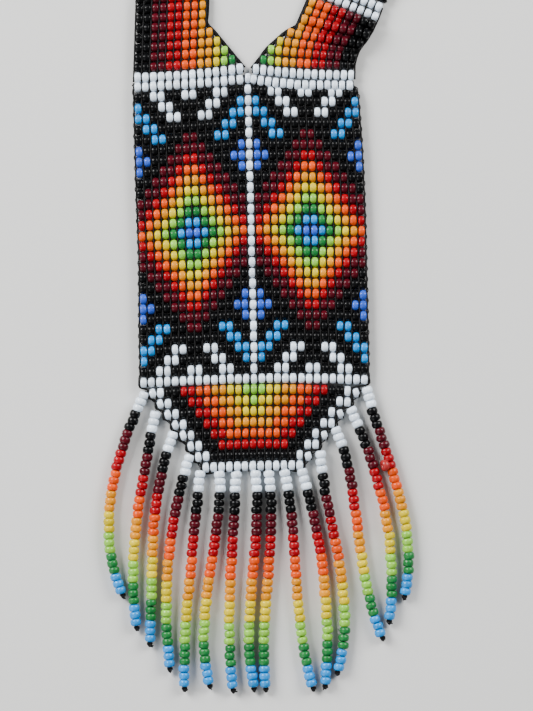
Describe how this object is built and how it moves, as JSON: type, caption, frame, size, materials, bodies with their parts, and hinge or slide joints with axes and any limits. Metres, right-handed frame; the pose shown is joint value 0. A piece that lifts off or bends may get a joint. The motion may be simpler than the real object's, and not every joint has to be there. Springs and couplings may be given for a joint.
{
  "type": "beaded necklace",
  "caption": "Loom-woven seed-bead necklace: rectangular pendant with a stepped point and beaded fringe, two woven straps, bead-and-loop clasp.",
  "frame": {"origin": "middle of the pendant's back face, which lies on the table at z = 0", "axes": "+X to the pendant's right, +Y up the pendant towards the neck straps, +Z out of the pendant's front face"},
  "size_m": [0.1885, 0.3202, 0.005],
  "materials": {
    "bead_white": "opaque glass, glossy",
    "bead_black": "opaque glass, glossy",
    "bead_maroon": "opaque glass, glossy",
    "bead_red": "opaque glass, glossy",
    "bead_orange": "opaque glass, glossy",
    "bead_amber": "opaque glass, glossy",
    "bead_yellow": "opaque glass, glossy",
    "bead_light_green": "opaque glass, glossy",
    "bead_green": "opaque glass, glossy",
    "bead_sky": "opaque glass, glossy",
    "bead_periwinkle": "opaque glass, glossy",
    "thread_black": "waxed beading thread, dull"
  },
  "bodies": {
    "pendant": {"woven_panel": "bead_black"},
    "point": {"tapered_rows": "bead_amber"},
    "left_yoke": {"left_yoke": "bead_white", "left_warp_bundle": "thread_black"},
    "left_strap_1": {"left_strap_1": "bead_red"},
    "left_strap_2": {"left_strap_2": "bead_red"},
    "left_strap_3": {"left_strap_3": "bead_red"},
    "left_strap_4": {"left_strap_4": "bead_red"},
    "right_yoke": {"right_yoke": "bead_white", "right_warp_bundle": "thread_black"},
    "right_strap_1": {"right_strap_1": "bead_red"},
    "right_strap_2": {"right_strap_2": "bead_red"},
    "right_strap_3": {"right_strap_3": "bead_red"},
    "right_strap_4": {"right_strap_4": "bead_red"},
    "button": {"clasp_button": "bead_sky"},
    "loop": {"clasp_loop": "bead_black"},
    "strand_01": {"fringe_strand_01": "bead_white", "fringe_thread_01": "thread_black"},
    "strand_02": {"fringe_strand_02": "bead_white", "fringe_thread_02": "thread_black"},
    "strand_03": {"fringe_strand_03": "bead_white", "fringe_thread_03": "thread_black"},
    "strand_04": {"fringe_strand_04": "bead_white", "fringe_thread_04": "thread_black"},
    "strand_05": {"fringe_strand_05": "bead_white", "fringe_thread_05": "thread_black"},
    "strand_06": {"fringe_strand_06": "bead_white", "fringe_thread_06": "thread_black"},
    "strand_07": {"fringe_strand_07": "bead_white", "fringe_thread_07": "thread_black"},
    "strand_08": {"fringe_strand_08": "bead_white", "fringe_thread_08": "thread_black"},
    "strand_09": {"fringe_strand_09": "bead_white", "fringe_thread_09": "thread_black"},
    "strand_10": {"fringe_strand_10": "bead_white", "fringe_thread_10": "thread_black"},
    "strand_11": {"fringe_strand_11": "bead_white", "fringe_thread_11": "thread_black"},
    "strand_12": {"fringe_strand_12": "bead_white", "fringe_thread_12": "thread_black"},
    "strand_13": {"fringe_strand_13": "bead_white", "fringe_thread_13": "thread_black"},
    "strand_14": {"fringe_strand_14": "bead_white", "fringe_thread_14": "thread_black"},
    "strand_15": {"fringe_strand_15": "bead_white", "fringe_thread_15": "thread_black"}
  },
  "joints": [
    {"name": "taper_fold", "type": "hinge", "parent": "pendant", "child": "point", "pos_m": [0, -0.03198, 0.001], "axis": [-1, 0, 0], "range_deg": [-40, 40]},
    {"name": "left_yoke_fold", "type": "hinge", "parent": "pendant", "child": "left_yoke", "pos_m": [-0.01189, 0.03222, 0.001], "axis": [0.9976, 0.0698, 0], "range_deg": [-40, 40]},
    {"name": "left_strap_1_fold", "type": "hinge", "parent": "left_yoke", "child": "left_strap_1", "pos_m": [-0.01508, 0.04967, 0.001], "axis": [0.9976, 0.0689, 0], "range_deg": [-40, 40]},
    {"name": "left_strap_2_fold", "type": "hinge", "parent": "left_strap_1", "child": "left_strap_2", "pos_m": [-0.04113, 0.09947, 0.001], "axis": [0.7547, 0.6561, 0], "range_deg": [-40, 40]},
    {"name": "left_strap_3_fold", "type": "hinge", "parent": "left_strap_2", "child": "left_strap_3", "pos_m": [-0.06721, 0.14925, 0.001], "axis": [0.9975, 0.0707, 0], "range_deg": [-40, 40]},
    {"name": "left_strap_4_fold", "type": "hinge", "parent": "left_strap_3", "child": "left_strap_4", "pos_m": [-0.04562, 0.20217, 0.001], "axis": [0.6633, -0.7483, 0], "range_deg": [-40, 40]},
    {"name": "right_yoke_fold", "type": "hinge", "parent": "pendant", "child": "right_yoke", "pos_m": [0.0106, 0.0321, 0.001], "axis": [-0.9962, 0.0872, 0], "range_deg": [-40, 40]},
    {"name": "right_strap_1_fold", "type": "hinge", "parent": "right_yoke", "child": "right_strap_1", "pos_m": [0.02194, 0.04933, 0.001], "axis": [-0.8992, 0.4376, 0], "range_deg": [-40, 40]},
    {"name": "right_strap_2_fold", "type": "hinge", "parent": "right_strap_1", "child": "right_strap_2", "pos_m": [0.06298, 0.08485, 0.001], "axis": [-0.454, 0.891, 0], "range_deg": [-40, 40]},
    {"name": "right_strap_3_fold", "type": "hinge", "parent": "right_strap_2", "child": "right_strap_3", "pos_m": [0.10231, 0.12254, 0.001], "axis": [-0.9261, 0.3773, 0], "range_deg": [-40, 40]},
    {"name": "right_strap_4_fold", "type": "hinge", "parent": "right_strap_3", "child": "right_strap_4", "pos_m": [0.09931, 0.17764, 0.001], "axis": [-0.8797, -0.4755, 0], "range_deg": [-40, 40]},
    {"name": "button_swing", "type": "hinge", "parent": "left_strap_4", "child": "button", "pos_m": [0.00856, 0.21745, 0.001], "axis": [-0.1564, -0.9877, 0], "range_deg": [-40, 40]},
    {"name": "loop_swing", "type": "hinge", "parent": "right_strap_4", "child": "loop", "pos_m": [0.05489, 0.21037, 0.001], "axis": [-0.225, -0.9744, 0], "range_deg": [-60, 60]},
    {"name": "strand_01_swing", "type": "hinge", "parent": "point", "child": "strand_01", "pos_m": [-0.0225, -0.0328, 0.001], "axis": [-1, 0, 0], "range_deg": [-35, 35]},
    {"name": "strand_02_swing", "type": "hinge", "parent": "point", "child": "strand_02", "pos_m": [-0.0203, -0.0368, 0.001], "axis": [-1, 0, 0], "range_deg": [-35, 35]},
    {"name": "strand_03_swing", "type": "hinge", "parent": "point", "child": "strand_03", "pos_m": [-0.0168, -0.041, 0.001], "axis": [-1, 0, 0], "range_deg": [-35, 35]},
    {"name": "strand_04_swing", "type": "hinge", "parent": "point", "child": "strand_04", "pos_m": [-0.0136, -0.0457, 0.001], "axis": [-1, 0, 0], "range_deg": [-35, 35]},
    {"name": "strand_05_swing", "type": "hinge", "parent": "point", "child": "strand_05", "pos_m": [-0.0115, -0.049, 0.001], "axis": [-1, 0, 0], "range_deg": [-35, 35]},
    {"name": "strand_06_swing", "type": "hinge", "parent": "point", "child": "strand_06", "pos_m": [-0.0075, -0.04915, 0.001], "axis": [-1, 0, 0], "range_deg": [-35, 35]},
    {"name": "strand_07_swing", "type": "hinge", "parent": "point", "child": "strand_07", "pos_m": [-0.0042, -0.0493, 0.001], "axis": [-1, 0, 0], "range_deg": [-35, 35]},
    {"name": "strand_08_swing", "type": "hinge", "parent": "point", "child": "strand_08", "pos_m": [-0.0004, -0.04925, 0.001], "axis": [-1, 0, 0], "range_deg": [-35, 35]},
    {"name": "strand_09_swing", "type": "hinge", "parent": "point", "child": "strand_09", "pos_m": [0.0024, -0.04925, 0.001], "axis": [-1, 0, 0], "range_deg": [-35, 35]},
    {"name": "strand_10_swing", "type": "hinge", "parent": "point", "child": "strand_10", "pos_m": [0.0056, -0.04915, 0.001], "axis": [-1, 0, 0], "range_deg": [-35, 35]},
    {"name": "strand_11_swing", "type": "hinge", "parent": "point", "child": "strand_11", "pos_m": [0.0092, -0.0491, 0.001], "axis": [-1, 0, 0], "range_deg": [-35, 35]},
    {"name": "strand_12_swing", "type": "hinge", "parent": "point", "child": "strand_12", "pos_m": [0.0129, -0.0456, 0.001], "axis": [-1, 0, 0], "range_deg": [-35, 35]},
    {"name": "strand_13_swing", "type": "hinge", "parent": "point", "child": "strand_13", "pos_m": [0.0162, -0.0408, 0.001], "axis": [-1, 0, 0], "range_deg": [-35, 35]},
    {"name": "strand_14_swing", "type": "hinge", "parent": "point", "child": "strand_14", "pos_m": [0.0194, -0.0369, 0.001], "axis": [-1, 0, 0], "range_deg": [-35, 35]},
    {"name": "strand_15_swing", "type": "hinge", "parent": "point", "child": "strand_15", "pos_m": [0.0226, -0.0329, 0.001], "axis": [-1, 0, 0], "range_deg": [-35, 35]}
  ]
}
